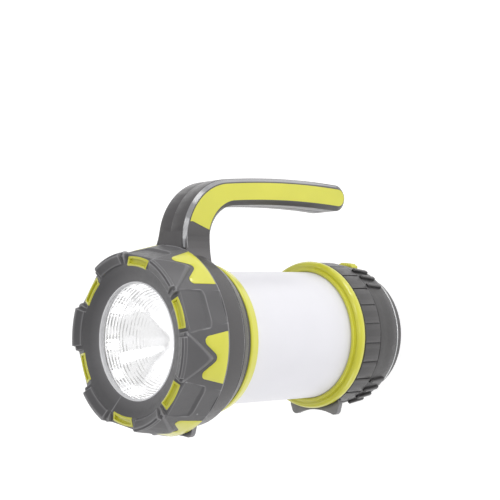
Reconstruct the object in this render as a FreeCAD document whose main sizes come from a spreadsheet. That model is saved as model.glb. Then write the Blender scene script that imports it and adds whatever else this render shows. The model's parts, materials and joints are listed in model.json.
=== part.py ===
"""Camping lantern with a torch head, a lit shade tube and a fixed carrying handle.

Millimetres. The lantern stands on its base at z = 0 and +Z runs along its axis to the torch head.
The handle is on the +X side and the two feet it lies on are on the -X side.
"""
import FreeCAD, Part
import math
import os
import re
import Sketcher

# Driving dimensions. Heights are measured from the face the lantern stands on.
SIZES = {
    # base cap, hook and pad
    "plate_radius": 38.0,
    "plate_top": 7.5,
    "pad_radius": 21.0,
    "pad_depth": 2.0,
    "hook_radius": 27.5,
    "hook_wire": 1.6,
    "hook_height": 2.3,
    "hook_slot_depth": 4.7,
    "hook_slot_half": 2.6,
    "eye_radius": 2.1,
    "eye_length": 4.0,
    "pin_radius": 1.0,
    "running_gap": 0.06,
    "screw_circle": 34.4,
    "screw_radius": 1.25,
    "screw_head_radius": 2.3,
    "screw_head_seat": 3.6,
    "screw_head_height": 1.8,
    "screw_top": 14.0,
    # base grip and base housing
    "joint_gap": 0.1,
    "grip_floor_top": 9.8,
    "grip_edge_radius": 40.2,
    "grip_rear_radius": 43.0,
    "grip_rear_top": 10.6,
    "grip_front_radius": 45.0,
    "grip_top": 27.5,
    "grip_bore": 40.2,
    "housing_radius": 45.4,
    "housing_top": 41.5,
    "housing_bore": 42.6,
    "bulkhead_thickness": 2.2,
    "bulkhead_hole": 20.0,
    "groove_count": 24,
    "groove_width": 0.8,
    "groove_depth": 0.5,
    "ridge_length": 13.0,
    "ridge_width": 2.4,
    "ridge_height": 1.9,
    "ridge_start": 13.8,
    "ridge_pitch": 9.5,
    # mode button and its switch
    "button_turn": -8.0,
    "button_half_angle": 7.5,
    "button_low": 9.8,
    "button_high": 15.6,
    "button_height": 12.7,
    "button_inner": 42.4,
    "button_outer": 44.7,
    "button_gap": 0.6,
    "rib_count": 5,
    "rib_pitch": 2.3,
    "rib_height": 0.7,
    "stem_radius": 2.0,
    "stem_end": 39.4,
    "switch_face": 38.5,
    "switch_side": 5.0,
    "switch_depth": 3.0,
    "switch_board_depth": 1.4,
    # ports and their cover
    "cover_half_angle": 17.0,
    "cover_low": 14.6,
    "cover_high": 25.4,
    "cover_inner": 42.2,
    "cover_gap": 0.35,
    "cover_hinge_radius": 43.4,
    "trunnion_radius": 0.8,
    "trunnion_length": 1.1,
    "board_low": 24.4,
    "board_thickness": 1.6,
    "board_radius": 36.0,
    "usb_width": 13.1,
    "usb_height": 5.7,
    "usb_depth": 13.7,
    "charge_width": 8.0,
    "charge_height": 3.2,
    "charge_depth": 7.3,
    "port_face": 40.0,
    # shade and its two rings
    "ring_gap": 0.2,
    "rear_ring_radius": 46.0,
    "rear_band_top": 47.6,
    "rear_lip_radius": 41.9,
    "rear_ring_top": 49.2,
    "ring_bore": 39.6,
    "ring_flange_bore": 36.0,
    "shade_radius": 39.3,
    "shade_wall": 1.8,
    "shade_low": 46.4,
    "shade_high": 131.4,
    "seal_height": 1.2,
    "front_ring_low": 129.6,
    "front_ring_high": 137.0,
    "front_ring_rear_radius": 43.6,
    "front_ring_front_radius": 45.0,
    # light column and the cells inside it
    "column_radius": 23.0,
    "column_wall": 1.6,
    "column_top": 127.0,
    "column_flange_radius": 30.0,
    "column_flange_top": 43.4,
    "strip_count": 4,
    "strip_width": 8.0,
    "strip_thickness": 1.0,
    "strip_low": 50.0,
    "strip_length": 72.0,
    "chip_side": 3.0,
    "chip_height": 0.8,
    "chip_count": 9,
    "cell_radius": 9.2,
    "cell_length": 65.2,
    "cell_low": 47.6,
    "cell_offset": 9.5,
    "holder_thickness": 3.0,
    "contact_thickness": 0.7,
    "contact_length": 34.0,
    "contact_width": 10.0,
    "wire_radius": 0.8,
    "wire_offset": 15.0,
    "wire_hole": 1.2,
    # torch head
    "sink_radius": 20.0,
    "sink_low": 128.4,
    "sink_high": 138.3,
    "sink_slot": 1.6,
    "sink_slot_depth": 6.0,
    "plate_ring_low": 133.4,
    "plate_ring_high": 136.0,
    "led_board_radius": 17.0,
    "led_board_top": 139.9,
    "led_side": 5.0,
    "led_height": 1.0,
    "led_dome": 2.2,
    "collar_low": 137.2,
    "collar_recess_radius": 44.4,
    "collar_band_low": 140.4,
    "collar_band_rear": 46.4,
    "collar_band_front": 49.4,
    "collar_band_top": 146.2,
    "collar_groove_radius": 48.4,
    "collar_main_low": 147.4,
    "collar_main_rear": 50.3,
    "collar_main_front": 51.0,
    "collar_main_top": 161.0,
    "collar_floor": 2.2,
    "collar_floor_bore": 21.0,
    "collar_bore": 42.4,
    "collar_neck_bore": 45.0,
    "neck_radius": 47.0,
    "neck_top": 176.5,
    "shelf_bore": 35.2,
    "shelf_thickness": 2.0,
    "reflector_rim": 33.6,
    "reflector_throat": 6.0,
    "reflector_low": 141.6,
    "reflector_high": 178.0,
    "reflector_wall": 1.2,
    "reflector_flange": 36.4,
    "lens_radius": 36.4,
    "lens_low": 178.1,
    "lens_high": 181.2,
    "lip_low": 182.0,
    "opening_radius": 33.7,
    "trim_width": 1.3,
    # head cap
    "cap_low": 161.2,
    "cap_rear_radius": 52.8,
    "cap_wide_radius": 54.6,
    "cap_wide_height": 162.8,
    "cap_front_radius": 49.4,
    "cap_front_height": 189.2,
    "cap_face_radius": 43.0,
    "cap_face_height": 188.4,
    "cap_opening_height": 184.0,
    "cap_bore": 47.4,
    "cap_turn": -10.7,
    "cap_repeats": 6,
    "accent_depth": 1.0,
    "accent_proud": 0.2,
    "insert_inner": 42.2,
    "insert_outer": 47.6,
    "insert_half_angle": 11.0,
    "insert_border": 1.3,
    "window_edge_radius": 49.0,
    "window_edge_height": 187.0,
    "window_half_angle": 13.4,
    "insert_depth": 2.6,
    # handle
    "handle_half_width": 12.4,
    "handle_flare": 7.0,
    "handle_flare_start": 64.0,
    "handle_wall": 2.6,
    "handle_chamfer": 2.4,
    "inlay_depth": 1.2,
    "inlay_border": 2.9,
    "inlay_proud": 0.15,
    "handle_screw_radius": 1.3,
    "handle_screw_head": 2.6,
    "handle_boss_radius": 3.4,
    # feet
    "rear_foot_half_width": 21.0,
    "front_foot_half_width": 19.6,
    "rear_foot_low": 38.2,
    "rear_foot_high": 41.3,
    "rear_foot_reach": 50.0,
    "front_foot_low": 156.8,
    "front_foot_high": 160.4,
    "front_foot_reach": 54.9,
}

DOCUMENT = FreeCAD.newDocument("CampingLantern")
SHEET = DOCUMENT.addObject("Spreadsheet::Sheet", "Sizes")
for row_number, (alias, value) in enumerate(SIZES.items(), start=1):
    SHEET.set("A%d" % row_number, alias)
    SHEET.set("B%d" % row_number, str(value))
    SHEET.setAlias("B%d" % row_number, alias)
DOCUMENT.recompute()

X_AXIS = FreeCAD.Vector(1, 0, 0)
Y_AXIS = FreeCAD.Vector(0, 1, 0)
Z_AXIS = FreeCAD.Vector(0, 0, 1)
ORIGIN = FreeCAD.Vector(0, 0, 0)
SHEET_NAME = re.compile(r"\b[a-z][a-z0-9_]*\b(?!\()")
NODES = {}


def size(alias):
    """Read one driving dimension from the sheet."""
    return float(SHEET.get(alias))


def bound(formula):
    """Turn the sheet's names in a formula into references to its cells."""
    return SHEET_NAME.sub(lambda match: "Sizes." + match.group(0), str(formula))


def keep(label, piece):
    """Name a finished sub-part and list it for export."""
    piece.Label = label
    NODES[label] = piece
    return piece


# ---- helpers for parametric features -------------------------------------------------------

def plane_of(body, role):
    """One of a body's own origin planes."""
    return [feature for feature in body.Origin.OriginFeatures if feature.Role == role][0]


def sketch_on(body, role, name):
    """A new sketch on one of the body's origin planes."""
    sketch = body.newObject("Sketcher::SketchObject", name)
    sketch.AttachmentSupport = (plane_of(body, role), [""])
    sketch.MapMode = "FlatFace"
    return sketch


def draw_outline(sketch, corners):
    """Draw a closed outline whose corners are pairs of formulas of the sheet's names."""
    count = len(corners)
    starts = []
    for index in range(count):
        turn = 2 * math.pi * index / count
        starts.append(FreeCAD.Vector(60 + 20 * math.cos(turn), 60 + 20 * math.sin(turn), 0))
    for index in range(count):
        sketch.addGeometry(Part.LineSegment(starts[index], starts[(index + 1) % count]), False)
    for index in range(count):
        following = (index + 1) % count
        sketch.addConstraint(Sketcher.Constraint("Coincident", index, 2, following, 1))
    for index, corner in enumerate(corners):
        for kind, formula, start in (("DistanceX", corner[0], starts[index].x),
                                     ("DistanceY", corner[1], starts[index].y)):
            number = sketch.addConstraint(Sketcher.Constraint(kind, -1, 1, index, 1, start))
            sketch.setExpression("Constraints[%d]" % number, bound(formula))


def turned(name, corners):
    """A body turned about the lantern's axis from an outline of radius and height."""
    body = DOCUMENT.addObject("PartDesign::Body", name)
    sketch = sketch_on(body, "XZ_Plane", name + "_profile")
    draw_outline(sketch, corners)
    turn = body.newObject("PartDesign::Revolution", name + "_turn")
    turn.Profile = sketch
    turn.ReferenceAxis = (sketch, ["V_Axis"])
    turn.Angle = 360
    body.Tip = turn
    return body


def place(piece, x, y, z):
    """Bind where a primitive stands."""
    piece.setExpression("Placement.Base.x", bound(x))
    piece.setExpression("Placement.Base.y", bound(y))
    piece.setExpression("Placement.Base.z", bound(z))
    return piece


def block(name, length, width, height, x, y, z):
    """A box from its lowest corner."""
    piece = DOCUMENT.addObject("Part::Box", name)
    piece.setExpression("Length", bound(length))
    piece.setExpression("Width", bound(width))
    piece.setExpression("Height", bound(height))
    return place(piece, x, y, z)


def rod(name, radius, height, x=0, y=0, z=0, along=Z_AXIS):
    """A cylinder from its starting point, along a given direction."""
    piece = DOCUMENT.addObject("Part::Cylinder", name)
    piece.Placement = FreeCAD.Placement(ORIGIN, FreeCAD.Rotation(Z_AXIS, along))
    piece.setExpression("Radius", bound(radius))
    piece.setExpression("Height", bound(height))
    return place(piece, x, y, z)


def joined(name, pieces):
    """Several solids made one, or kept side by side where they don't touch."""
    union = DOCUMENT.addObject("Part::MultiFuse", name)
    union.Shapes = pieces
    return union


def grouped(name, pieces):
    """Identical separate solids that share one node."""
    group = DOCUMENT.addObject("Part::Compound", name)
    group.Links = pieces
    return group


def cut(name, base, tools):
    """A piece with other pieces' space taken out of it."""
    result = DOCUMENT.addObject("Part::Cut", name)
    result.Base = base
    result.Tool = tools[0] if len(tools) == 1 else joined(name + "_tools", tools)
    return result


def fixed_shape(name, shape, degrees=0.0):
    """A piece whose form no parametric feature fits, turned about the lantern's axis if asked."""
    piece = DOCUMENT.addObject("Part::Feature", name)
    piece.Shape = shape
    turn = FreeCAD.Placement(ORIGIN, FreeCAD.Rotation(Z_AXIS, degrees))
    piece.Placement = turn.multiply(shape.Placement)
    return piece


# ---- helpers for free shapes ---------------------------------------------------------------

def polar(radius, degrees, height):
    """A point from its radius, its angle from +X and its height."""
    turn = math.radians(degrees)
    return FreeCAD.Vector(radius * math.cos(turn), radius * math.sin(turn), height)


def ring_of(corners, start=0.0, sweep=360.0):
    """A solid turned about the axis from corners of radius and height, over part of a turn."""
    points = [polar(radius, start, height) for radius, height in corners]
    face = Part.Face(Part.makePolygon(points + points[:1]))
    return face.revolve(ORIGIN, Z_AXIS, sweep)


def sector(inner, outer, low, high, middle, half_angle):
    """An upright piece of a tube wall, centred on one angle."""
    corners = [(inner, low), (outer, low), (outer, high), (inner, high)]
    return ring_of(corners, middle - half_angle, 2 * half_angle)


def around(shape, degrees):
    """A copy turned about the lantern's axis."""
    copy = shape.copy()
    copy.rotate(ORIGIN, Z_AXIS, degrees)
    return copy


# ---- base plate, pad, hook and screws ------------------------------------------------------

def make_base_plate():
    plate = rod("plate_disc", "plate_radius", "plate_top")
    pad_seat = rod("pad_seat", "pad_radius + 0.1", "pad_depth")
    slot_outer = rod("hook_slot_outer", "hook_radius + hook_slot_half", "hook_slot_depth")
    slot_outer.Angle = 180
    slot_outer.Placement = FreeCAD.Placement(ORIGIN, FreeCAD.Rotation(Z_AXIS, -90))
    slot_inner = rod("hook_slot_inner", "hook_radius - hook_slot_half", "hook_slot_depth + 1", z=-0.5)
    slot = cut("hook_slot", slot_outer, [slot_inner])
    eye_rooms = []
    for side, middle in ((1, "hook_radius"), (-1, "-hook_radius")):
        low_edge = middle + " - eye_length / 2 - 0.4"
        room = block("eye_room_%d" % (side + 2), "2 * hook_slot_half", "eye_length + 0.8",
                     "hook_slot_depth", "-hook_slot_half", low_edge, 0)
        eye_rooms.append(room)
    pin_holes = rod("pin_hole", "pin_radius", "2 * hook_radius + 10", y="-hook_radius - 5",
                    z="hook_height", along=Y_AXIS)
    screw_holes = []
    for number in range(4):
        direction = polar(1, 45 + 90 * number, 0)
        x = "screw_circle * %.6f" % direction.x
        y = "screw_circle * %.6f" % direction.y
        screw_holes.append(rod("screw_way_%d" % number, "screw_radius + 0.05", "plate_top", x, y, 0))
        screw_holes.append(rod("screw_seat_%d" % number, "screw_head_radius + 0.1", "screw_head_seat",
                               x, y, 0))
    keep("base_plate", cut("base_plate", plate, [pad_seat, slot, pin_holes] + eye_rooms + screw_holes))
    keep("base_pad", rod("base_pad", "pad_radius", "pad_depth"))


def make_hook():
    """A wire bail, half a ring, with an eye at each end that turns on a pin."""
    radius = size("hook_radius")
    height = size("hook_height")
    wire = size("hook_wire")
    eye = size("eye_radius")
    length = size("eye_length")
    section = Part.Wire(Part.Circle(FreeCAD.Vector(0, radius, height), X_AXIS, wire).toShape())
    bail = Part.Face(section).revolve(FreeCAD.Vector(0, 0, height), Z_AXIS, -180)
    shape = bail
    for side in (1, -1):
        start = FreeCAD.Vector(0, side * radius - length / 2, height)
        shape = shape.fuse(Part.makeCylinder(eye, length, start, Y_AXIS))
    bore = Part.makeCylinder(size("pin_radius") + size("running_gap"), 2 * radius + 10,
                             FreeCAD.Vector(0, -radius - 5, height), Y_AXIS)
    keep("hanging_hook", fixed_shape("hanging_hook", shape.cut(bore).removeSplitter()))
    pins = []
    for side in (0, 1):
        low_edge = ("-hook_radius - 4.4", "hook_radius - 4.0")[side]
        pins.append(rod("hook_pin_%d" % side, "pin_radius", 8.4, y=low_edge, z="hook_height", along=Y_AXIS))
    keep("hook_pins", grouped("hook_pins", pins))


def make_base_screws():
    screws = []
    for number in range(4):
        direction = polar(1, 45 + 90 * number, 0)
        x = "screw_circle * %.6f" % direction.x
        y = "screw_circle * %.6f" % direction.y
        shank = rod("screw_shank_%d" % number, "screw_radius", "screw_top - screw_head_seat",
                    x, y, "screw_head_seat")
        head = rod("screw_head_%d" % number, "screw_head_radius", "screw_head_height",
                   x, y, "screw_head_seat - screw_head_height")
        screws.append(joined("base_screw_%d" % number, [shank, head]))
    keep("base_screws", grouped("base_screws", screws))


# ---- base grip, housing and what they hold -------------------------------------------------

def grip_shell():
    """The rear cup of the base: tapered wall and floor."""
    low = "plate_top + joint_gap"
    return turned("grip_shell", [
        (0, low),
        ("grip_edge_radius - 0.8", low),
        ("grip_edge_radius", "plate_top + 0.9"),
        ("grip_rear_radius", "grip_rear_top"),
        ("grip_front_radius", "grip_top - 0.6"),
        ("grip_front_radius - 0.4", "grip_top - joint_gap"),
        ("grip_bore", "grip_top - joint_gap"),
        ("grip_bore", "grip_floor_top"),
        (0, "grip_floor_top"),
    ])


def grip_ridges():
    """Finger ridges in four groups, each standing on the tapered wall."""
    ridges = []
    low = size("ridge_start")
    high = low + size("ridge_length")
    root = size("grip_bore") + 1.5
    taper = size("grip_front_radius") - size("grip_rear_radius")
    taper = taper / (size("grip_top") - size("grip_rear_top"))
    low_top = size("grip_rear_radius") + taper * (low - size("grip_rear_top")) + size("ridge_height")
    high_top = size("grip_front_radius") + size("ridge_height")
    half = size("ridge_width") / 2
    profile = [(root, low - 1.0), (low_top - 0.6, low - 1.0), (low_top, low),
               (high_top, high - 1.0), (high_top - 0.8, high), (root, high)]
    points = [FreeCAD.Vector(radius, -half, height) for radius, height in profile]
    ridge = Part.Face(Part.makePolygon(points + points[:1])).extrude(Y_AXIS * size("ridge_width"))
    long_edges = [edge for edge in ridge.Edges if abs(edge.tangentAt(edge.FirstParameter).y) < 0.01
                  and edge.CenterOfMass.x > root + 1.0]
    ridge = ridge.makeChamfer(0.5, long_edges)
    pitch = size("ridge_pitch")
    groups = ((39.5, (-1, 0, 1)), (145.2, (-1.5, -0.5, 0.5, 1.5)))
    for middle, steps in groups:
        for step in steps:
            ridges.append(around(ridge, middle + step * pitch))
            ridges.append(around(ridge, -middle - step * pitch))
    return ridges


def cover_axis():
    """Where the port cover turns."""
    return polar(size("cover_hinge_radius"), 90 + size("cover_half_angle"), 0)


def make_base_grip():
    shell = grip_shell()
    ridges = fixed_shape("grip_ridges", Part.makeCompound(grip_ridges()))
    bosses = []
    for number in range(4):
        direction = polar(1, 45 + 90 * number, 0)
        bosses.append(rod("screw_boss_%d" % number, 3.2, "screw_top + 1.2 - grip_floor_top",
                          "screw_circle * %.6f" % direction.x, "screw_circle * %.6f" % direction.y,
                          "grip_floor_top"))
    ways = []
    for number in range(4):
        direction = polar(1, 45 + 90 * number, 0)
        ways.append(rod("boss_way_%d" % number, "screw_radius", "screw_top",
                        "screw_circle * %.6f" % direction.x, "screw_circle * %.6f" % direction.y, 0.1))
    gap = size("button_gap")
    button_room = sector(size("grip_bore") - 1, 60, size("button_low") - gap, size("button_high") + gap,
                         0, size("button_half_angle") + math.degrees(gap / size("button_outer")))
    stem_room = Part.makeCylinder(size("stem_radius") + gap, 10,
                                  FreeCAD.Vector(36, 0, size("button_height")), X_AXIS)
    clear = size("cover_gap")
    spread = size("cover_half_angle") + math.degrees((1.0 + clear) / size("cover_hinge_radius"))
    cover_room = sector(size("cover_inner") - clear, 60, size("cover_low") - clear,
                        size("cover_high") + clear, 90, spread)
    axis = cover_axis()
    hole_low = size("cover_low") - size("trunnion_length") - clear
    hole_length = size("cover_high") - size("cover_low") + 2 * (size("trunnion_length") + clear)
    axis_hole = Part.makeCylinder(size("trunnion_radius") + size("running_gap"), hole_length,
                                  FreeCAD.Vector(axis.x, axis.y, hole_low), Z_AXIS)
    rooms = fixed_shape("grip_rooms", Part.makeCompound([cover_room.fuse([axis_hole] + port_rooms())]))
    button_rooms = fixed_shape("grip_button_rooms", button_room.fuse(stem_room), size("button_turn"))
    full = joined("grip_full", [shell, ridges] + bosses)
    keep("base_grip", cut("base_grip", full, [rooms, button_rooms] + ways))


def port_boxes(clear):
    """The two sockets' outlines, grown by a clearance, from the board's underside."""
    low = size("board_low")
    face = size("port_face")
    boxes = []
    for left, width, height, depth in (
            (-11.2, size("usb_width"), size("usb_height"), size("usb_depth")),
            (3.4, size("charge_width"), size("charge_height"), size("charge_depth"))):
        corner = FreeCAD.Vector(left - clear, face - depth - clear, low - height - clear)
        boxes.append(Part.makeBox(width + 2 * clear, depth + 6 * (clear > 0) + clear,
                                  height + 2 * clear, corner))
    return boxes


def port_rooms():
    return port_boxes(0.25)


def make_ports():
    for label, shell in zip(("usb_socket", "charge_socket"), port_boxes(0.0)):
        box = shell.BoundBox
        wall = 0.6
        hollow = Part.makeBox(box.XLength - 2 * wall, box.YLength - 2.0, box.ZLength - 2 * wall,
                              FreeCAD.Vector(box.XMin + wall, box.YMin + 2.0, box.ZMin + wall))
        tongue_corner = FreeCAD.Vector(box.XMin + 2 * wall, box.YMin + 1.5, box.ZMax - box.ZLength * 0.5)
        tongue = Part.makeBox(box.XLength - 4 * wall, box.YLength - 3.0, box.ZLength * 0.28, tongue_corner)
        keep(label, fixed_shape(label, shell.cut(hollow).fuse(tongue)))


def make_port_cover():
    """A curved door over the sockets, with round trunnions at one end."""
    axis = cover_axis()
    half = size("cover_half_angle")
    low = size("cover_low")
    high = size("cover_high")
    plate = sector(size("cover_inner"), 44.5, low, high, 90, half)
    body = plate.fuse(Part.makeCylinder(1.0, high - low, FreeCAD.Vector(axis.x, axis.y, low), Z_AXIS))
    corner = sector(size("cover_inner") - 1, 46, low - 1, high + 1, 90 + half + 5, 5)
    round_end = Part.makeCylinder(1.0, high - low, FreeCAD.Vector(axis.x, axis.y, low), Z_AXIS)
    body = body.cut(corner).fuse(round_end)
    pin_length = high - low + 2 * size("trunnion_length")
    start = FreeCAD.Vector(axis.x, axis.y, low - size("trunnion_length"))
    body = body.fuse(Part.makeCylinder(size("trunnion_radius"), pin_length, start, Z_AXIS))
    tab = sector(44.0, 45.2, 18.0, 22.0, 90 - half + 2.2, 1.6)
    keep("port_cover", fixed_shape("port_cover", body.fuse(tab).removeSplitter()))


def make_base_housing():
    low = "grip_top + joint_gap"
    shell = turned("housing_shell", [
        ("housing_bore", low),
        ("housing_radius - 0.5", low),
        ("housing_radius", "grip_top + 0.7"),
        ("housing_radius", "housing_top - 0.5"),
        ("housing_radius - 0.5", "housing_top"),
        ("bulkhead_hole", "housing_top"),
        ("bulkhead_hole", "housing_top - bulkhead_thickness"),
        ("housing_bore", "housing_top - bulkhead_thickness"),
    ])
    sketch = sketch_on(shell, "XY_Plane", "groove_section")
    draw_outline(sketch, [
        ("housing_radius - groove_depth", "-groove_width / 2"),
        ("housing_radius + 1", "-groove_width / 2"),
        ("housing_radius + 1", "groove_width / 2"),
        ("housing_radius - groove_depth", "groove_width / 2"),
    ])
    groove = shell.newObject("PartDesign::Pocket", "groove")
    groove.Profile = sketch
    groove.Type = "Length"
    groove.Reversed = True
    groove.setExpression("Length", bound("housing_top"))
    shell.Tip = groove
    DOCUMENT.recompute()
    around_axis = shell.newObject("PartDesign::PolarPattern", "grooves")
    around_axis.Originals = [groove]
    around_axis.Axis = (sketch, ["N_Axis"])
    around_axis.Angle = 360
    around_axis.setExpression("Occurrences", bound("groove_count"))
    shell.Tip = around_axis
    keep("base_housing", shell)
    half_pitch = 180 / size("groove_count")
    shell.Placement = FreeCAD.Placement(ORIGIN, FreeCAD.Rotation(Z_AXIS, half_pitch))


def make_boards():
    keep("main_board", rod("main_board", "board_radius", "board_thickness", z="board_low"))
    board_back = "switch_face - switch_depth - switch_board_depth"
    panel = block("switch_panel", "switch_board_depth", 16, 11, board_back, -8, "grip_floor_top")
    holes = []
    for side in (-1, 1):
        holes.append(rod("switch_panel_hole_%d" % (side + 2), 1.1, 6, "switch_face - switch_depth - 4",
                         6 * side, "grip_floor_top + 8.6", along=X_AXIS))
    case = block("switch_case", "switch_depth - 0.6", "switch_side", "switch_side",
                 "switch_face - switch_depth", "-switch_side / 2", "button_height - switch_side / 2")
    plunger = rod("switch_plunger", 1.7, 1.0, x="switch_face - 1.0", z="button_height", along=X_AXIS)
    facing_button = FreeCAD.Placement(ORIGIN, FreeCAD.Rotation(Z_AXIS, size("button_turn")))
    keep("switch_board", cut("switch_board", panel, holes)).Placement = facing_button
    keep("tact_switch", joined("tact_switch", [case, plunger])).Placement = facing_button


def make_mode_button():
    """A ribbed slider-shaped key that is pressed towards the axis."""
    half = size("button_half_angle")
    low = size("button_low")
    high = size("button_high")
    key = sector(size("button_inner"), size("button_outer"), low, high, 0, half)
    ribs = []
    spread = math.degrees(size("rib_pitch") / size("button_outer"))
    for number in range(int(size("rib_count"))):
        middle = (number - (size("rib_count") - 1) / 2) * spread
        ribs.append(sector(size("button_outer") - 0.5, size("button_outer") + size("rib_height"),
                           low, high, middle, spread * 0.28))
    stem = Part.makeCylinder(size("stem_radius"), size("button_inner") + 1 - size("stem_end"),
                             FreeCAD.Vector(size("stem_end"), 0, size("button_height")), X_AXIS)
    whole = key.fuse(ribs + [stem]).removeSplitter()
    keep("mode_button", fixed_shape("mode_button", whole, size("button_turn")))


# ---- shade, rings and seals ----------------------------------------------------------------

def make_shade_group():
    keep("rear_ring", turned("rear_ring", [
        ("ring_flange_bore", "housing_top + ring_gap"),
        ("rear_ring_radius - 0.9", "housing_top + ring_gap"),
        ("rear_ring_radius", "housing_top + 2.0"),
        ("rear_ring_radius", "rear_band_top - 2.6"),
        ("rear_ring_radius - 0.9", "rear_band_top - 0.8"),
        ("rear_ring_radius - 2.2", "rear_band_top"),
        ("rear_lip_radius + 0.6", "rear_band_top - 0.4"),
        ("rear_lip_radius", "rear_band_top - 0.4"),
        ("rear_lip_radius", "rear_ring_top - 0.4"),
        ("rear_lip_radius - 0.4", "rear_ring_top"),
        ("ring_bore", "rear_ring_top"),
        ("ring_bore", "shade_low - seal_height"),
        ("ring_flange_bore", "shade_low - seal_height"),
    ]))
    keep("front_ring", turned("front_ring", [
        ("ring_bore", "front_ring_low"),
        ("front_ring_rear_radius - 0.6", "front_ring_low"),
        ("front_ring_rear_radius", "front_ring_low + 0.8"),
        ("front_ring_front_radius", "front_ring_high - 1.2"),
        ("front_ring_front_radius - 0.4", "front_ring_high"),
        ("ring_flange_bore", "front_ring_high"),
        ("ring_flange_bore", "shade_high + seal_height"),
        ("ring_bore", "shade_high + seal_height"),
    ]))
    inner = "shade_radius - shade_wall"
    keep("lamp_shade", turned("lamp_shade", [
        (inner, "shade_low"),
        ("shade_radius", "shade_low"),
        ("shade_radius", "shade_high"),
        (inner, "shade_high"),
    ]))
    for label, low in (("rear_seal", "shade_low - seal_height"), ("front_seal", "shade_high")):
        keep(label, turned(label, [
            (inner, low),
            ("shade_radius", low),
            ("shade_radius", low + " + seal_height"),
            (inner, low + " + seal_height"),
        ]))


# ---- light column, strips and cells --------------------------------------------------------

def wire_ways(name, low, height):
    """Two holes that the torch wires pass through."""
    ways = []
    for side, sign in enumerate(("", "-")):
        ways.append(rod("%s_way_%d" % (name, side), "wire_hole", height, y=sign + "wire_offset", z=low))
    return ways


def make_column():
    inner = "column_radius - column_wall"
    shell = turned("column_shell", [
        (inner, "housing_top + joint_gap"),
        ("column_flange_radius", "housing_top + joint_gap"),
        ("column_flange_radius", "column_flange_top"),
        ("column_radius", "column_flange_top"),
        ("column_radius", "column_top"),
        (0, "column_top"),
        (0, "column_top - column_wall"),
        (inner, "column_top - column_wall"),
    ])
    keep("light_column", cut("light_column", shell, wire_ways("column", "column_top - 3", 5)))


def make_strips():
    """Lamp strips upright on the column, with their light chips as one group."""
    chips = []
    for number in range(int(size("strip_count"))):
        turn = 45 + number * 360 / size("strip_count")
        half_width = size("strip_width") / 2
        face = size("column_radius") + 0.02
        board = Part.makeBox(size("strip_thickness"), size("strip_width"), size("strip_length"),
                             FreeCAD.Vector(face, -half_width, size("strip_low")))
        label = "led_strip_%d" % (number + 1)
        keep(label, fixed_shape(label, board, turn))
        pitch = size("strip_length") / size("chip_count")
        half_chip = size("chip_side") / 2
        for step in range(int(size("chip_count"))):
            height = size("strip_low") + (step + 0.5) * pitch - half_chip
            chip = Part.makeBox(size("chip_height"), size("chip_side"), size("chip_side"),
                                FreeCAD.Vector(face + size("strip_thickness"), -half_chip, height))
            chips.append(around(chip, turn))
    keep("strip_lights", fixed_shape("strip_lights", Part.makeCompound(chips)))


def make_cells():
    for number, side in enumerate(("", "-"), start=1):
        label = "battery_cell_%d" % number
        can = rod(label + "_can", "cell_radius", "cell_length - 1.2", x=side + "cell_offset", z="cell_low")
        tip = rod(label + "_tip", "cell_radius * 0.4", 1.2, x=side + "cell_offset",
                  z="cell_low + cell_length - 1.2")
        keep(label, joined(label, [can, tip]))
    contacts = []
    for name, low in (("rear", "cell_low - contact_thickness - 0.05"),
                      ("front", "cell_low + cell_length + 0.05")):
        contacts.append(block("contact_" + name, "contact_length", "contact_width", "contact_thickness",
                              "-contact_length / 2", "-contact_width / 2", low))
    keep("cell_contacts", grouped("cell_contacts", contacts))
    radius = "column_radius - column_wall - 0.3"
    for label, low in (("cell_holder_rear", "cell_low - contact_thickness - holder_thickness - 0.1"),
                       ("cell_holder_front", "cell_low + cell_length + contact_thickness + 0.1")):
        disc = rod(label + "_disc", radius, "holder_thickness", z=low)
        keep(label, cut(label, disc, wire_ways(label, low + " - 1", "holder_thickness + 2")))


def make_wires():
    low = "board_low + board_thickness + 0.05"
    wires = []
    for side, sign in enumerate(("", "-")):
        wires.append(rod("torch_wire_%d" % side, "wire_radius",
                         "sink_high - board_low - board_thickness - 0.1", y=sign + "wire_offset", z=low))
    keep("torch_wires", grouped("torch_wires", wires))


# ---- torch: heat sink, light, reflector, lens ----------------------------------------------

def make_torch_core():
    sink = rod("sink_body", "sink_radius", "sink_high - sink_low", z="sink_low")
    slots = []
    for number in range(-3, 4):
        slots.append(block("sink_slot_%d" % (number + 3), "sink_slot", 60, "sink_slot_depth + 1",
                           "%d * 5 - sink_slot / 2" % number, -30, "sink_low - 1"))
    keep("heat_sink", cut("heat_sink", sink, slots + wire_ways("sink", "sink_low - 1", 12)))
    keep("upper_reflector_plate", turned("upper_reflector_plate", [
        ("sink_radius + 0.4", "plate_ring_low"),
        ("ring_flange_bore - 0.2", "plate_ring_low"),
        ("ring_flange_bore - 0.2", "plate_ring_high"),
        ("sink_radius + 0.4", "plate_ring_high"),
    ]))
    keep("torch_led_board", rod("torch_led_board", "led_board_radius", "led_board_top - sink_high - 0.05",
                                z="sink_high + 0.05"))
    package = block("led_package", "led_side", "led_side", "led_height",
                    "-led_side / 2", "-led_side / 2", "led_board_top")
    dome = DOCUMENT.addObject("Part::Sphere", "led_dome_ball")
    dome.setExpression("Radius", bound("led_dome"))
    dome.Angle1 = 0
    dome.Angle2 = 90
    place(dome, 0, 0, "led_board_top + led_height")
    keep("torch_led", joined("torch_led", [package, dome]))


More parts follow.
